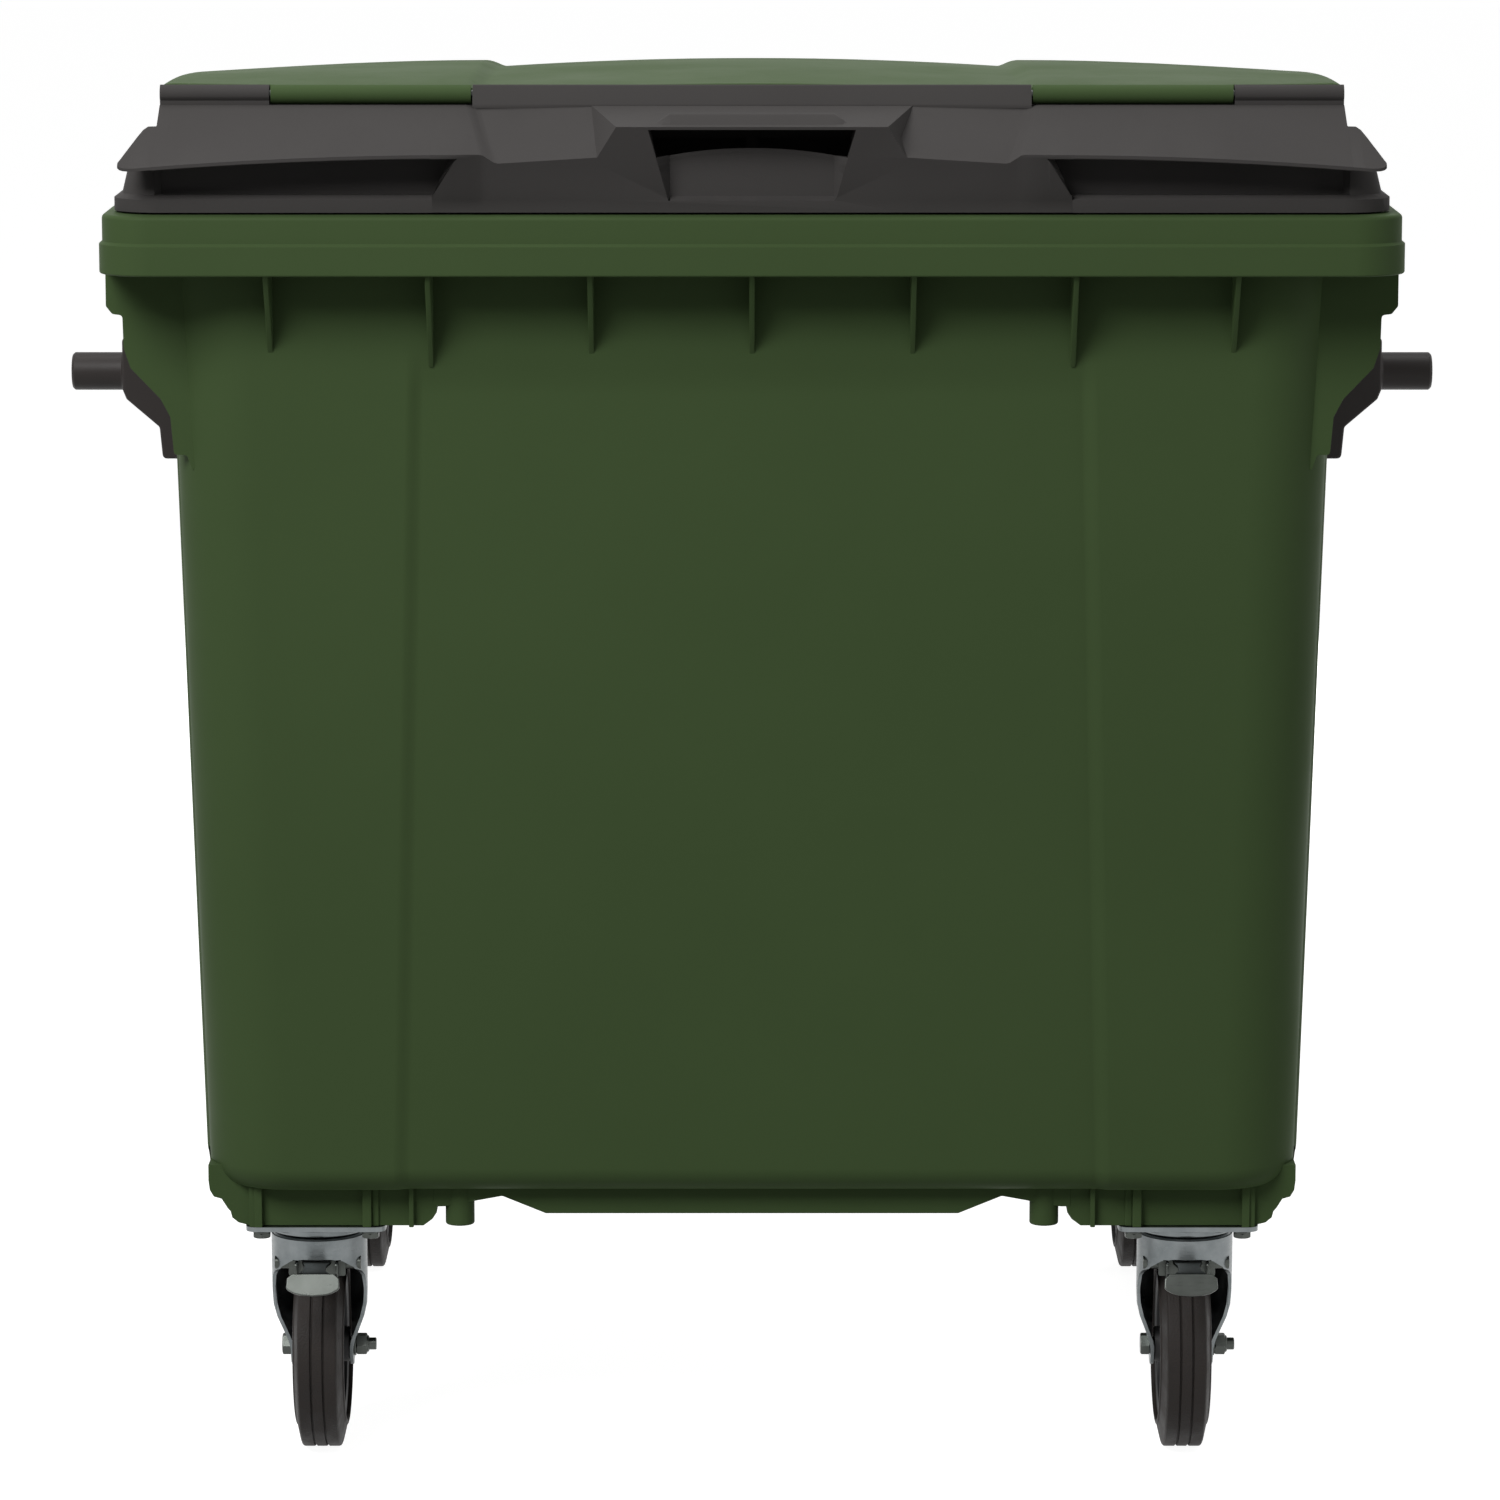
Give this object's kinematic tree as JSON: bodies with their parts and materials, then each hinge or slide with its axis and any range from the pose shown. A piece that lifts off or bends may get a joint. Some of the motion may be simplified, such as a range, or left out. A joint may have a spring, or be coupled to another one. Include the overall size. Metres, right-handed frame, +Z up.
{
  "type": "wheeled waste container",
  "caption": "Large moulded waste container on swivel casters, with a hinged lid frame and a second lid set in it.",
  "frame": {"origin": "on the floor, under the middle of the container's overall box", "axes": "+Z up, front with the lid grips towards -Y, +X to the right seen from the front"},
  "size_m": [1.37, 1.07, 1.3417],
  "materials": {
    "green_plastic": "fine-grained moulded polyethylene, dark green, slightly glossy",
    "black_plastic": "fine-grained moulded polyethylene, anthracite",
    "trunnion_plastic": "moulded plastic, near black",
    "tyre": "matt black solid rubber",
    "rubber": "matt black sealing rubber",
    "wheel_plastic": "moulded black plastic wheel centre",
    "zinc_steel": "zinc-plated pressed steel"
  },
  "bodies": {
    "container": {"tub": "green_plastic", "trunnion_left": "trunnion_plastic", "trunnion_right": "trunnion_plastic", "lid_pin_left": "zinc_steel", "lid_pin_right": "zinc_steel", "front_left_plate": "zinc_steel", "front_left_kingpin": "zinc_steel", "front_left_bolt_1": "zinc_steel", "front_left_bolt_2": "zinc_steel", "front_left_bolt_3": "zinc_steel", "front_left_bolt_4": "zinc_steel", "front_right_plate": "zinc_steel", "front_right_kingpin": "zinc_steel", "front_right_bolt_1": "zinc_steel", "front_right_bolt_2": "zinc_steel", "front_right_bolt_3": "zinc_steel", "front_right_bolt_4": "zinc_steel", "rear_left_plate": "zinc_steel", "rear_left_kingpin": "zinc_steel", "rear_left_bolt_1": "zinc_steel", "rear_left_bolt_2": "zinc_steel", "rear_left_bolt_3": "zinc_steel", "rear_left_bolt_4": "zinc_steel", "rear_right_plate": "zinc_steel", "rear_right_kingpin": "zinc_steel", "rear_right_bolt_1": "zinc_steel", "rear_right_bolt_2": "zinc_steel", "rear_right_bolt_3": "zinc_steel", "rear_right_bolt_4": "zinc_steel"},
    "lid": {"main_lid": "black_plastic", "inner_pin_left": "zinc_steel", "inner_pin_right": "zinc_steel"},
    "lid_in_lid": {"inner_lid": "green_plastic"},
    "drain": {"drain_plug": "black_plastic", "drain_seal": "rubber"},
    "front_left_swivel": {"front_left_fork": "zinc_steel", "front_left_axle": "zinc_steel", "front_left_nut": "zinc_steel", "front_left_pedal_pin": "zinc_steel"},
    "front_right_swivel": {"front_right_fork": "zinc_steel", "front_right_axle": "zinc_steel", "front_right_nut": "zinc_steel", "front_right_pedal_pin": "zinc_steel"},
    "rear_left_swivel": {"rear_left_fork": "zinc_steel", "rear_left_axle": "zinc_steel", "rear_left_nut": "zinc_steel"},
    "rear_right_swivel": {"rear_right_fork": "zinc_steel", "rear_right_axle": "zinc_steel", "rear_right_nut": "zinc_steel"},
    "front_left_roller": {"front_left_tyre": "tyre", "front_left_wheel": "wheel_plastic"},
    "front_right_roller": {"front_right_tyre": "tyre", "front_right_wheel": "wheel_plastic"},
    "rear_left_roller": {"rear_left_tyre": "tyre", "rear_left_wheel": "wheel_plastic"},
    "rear_right_roller": {"rear_right_tyre": "tyre", "rear_right_wheel": "wheel_plastic"},
    "front_left_brake": {"front_left_pedal": "zinc_steel"},
    "front_right_brake": {"front_right_pedal": "zinc_steel"}
  },
  "joints": [
    {"name": "lid_hinge", "type": "hinge", "parent": "container", "child": "lid", "pos_m": [0, 0.5115, 1.2525], "axis": [-1, 0, 0], "range_deg": [0, 105]},
    {"name": "inner_lid_hinge", "type": "hinge", "parent": "lid", "child": "lid_in_lid", "pos_m": [0, -0.425, 1.3287], "axis": [1, 0, 0], "range_deg": [0, 95]},
    {"name": "drain_turn", "type": "hinge", "parent": "container", "child": "drain", "pos_m": [0, -0.31, 0.25], "axis": [0, 0, -1], "range_deg": [0, 90]},
    {"name": "front_left_turn", "type": "hinge", "parent": "container", "child": "front_left_swivel", "pos_m": [-0.421, -0.365, 0.22], "axis": [0, 0, 1], "continuous": true},
    {"name": "front_right_turn", "type": "hinge", "parent": "container", "child": "front_right_swivel", "pos_m": [0.421, -0.365, 0.22], "axis": [0, 0, 1], "continuous": true},
    {"name": "rear_left_turn", "type": "hinge", "parent": "container", "child": "rear_left_swivel", "pos_m": [-0.421, 0.365, 0.22], "axis": [0, 0, 1], "continuous": true},
    {"name": "rear_right_turn", "type": "hinge", "parent": "container", "child": "rear_right_swivel", "pos_m": [0.421, 0.365, 0.22], "axis": [0, 0, 1], "continuous": true},
    {"name": "front_left_roll", "type": "hinge", "parent": "front_left_swivel", "child": "front_left_roller", "pos_m": [-0.421, -0.325, 0.1], "axis": [1, 0, 0], "continuous": true},
    {"name": "front_right_roll", "type": "hinge", "parent": "front_right_swivel", "child": "front_right_roller", "pos_m": [0.421, -0.325, 0.1], "axis": [1, 0, 0], "continuous": true},
    {"name": "rear_left_roll", "type": "hinge", "parent": "rear_left_swivel", "child": "rear_left_roller", "pos_m": [-0.421, 0.405, 0.1], "axis": [1, 0, 0], "continuous": true},
    {"name": "rear_right_roll", "type": "hinge", "parent": "rear_right_swivel", "child": "rear_right_roller", "pos_m": [0.421, 0.405, 0.1], "axis": [1, 0, 0], "continuous": true},
    {"name": "front_left_brake_press", "type": "hinge", "parent": "front_left_swivel", "child": "front_left_brake", "pos_m": [-0.421, -0.385, 0.197], "axis": [1, 0, 0], "range_deg": [0, 18]},
    {"name": "front_right_brake_press", "type": "hinge", "parent": "front_right_swivel", "child": "front_right_brake", "pos_m": [0.421, -0.385, 0.197], "axis": [1, 0, 0], "range_deg": [0, 18]}
  ]
}
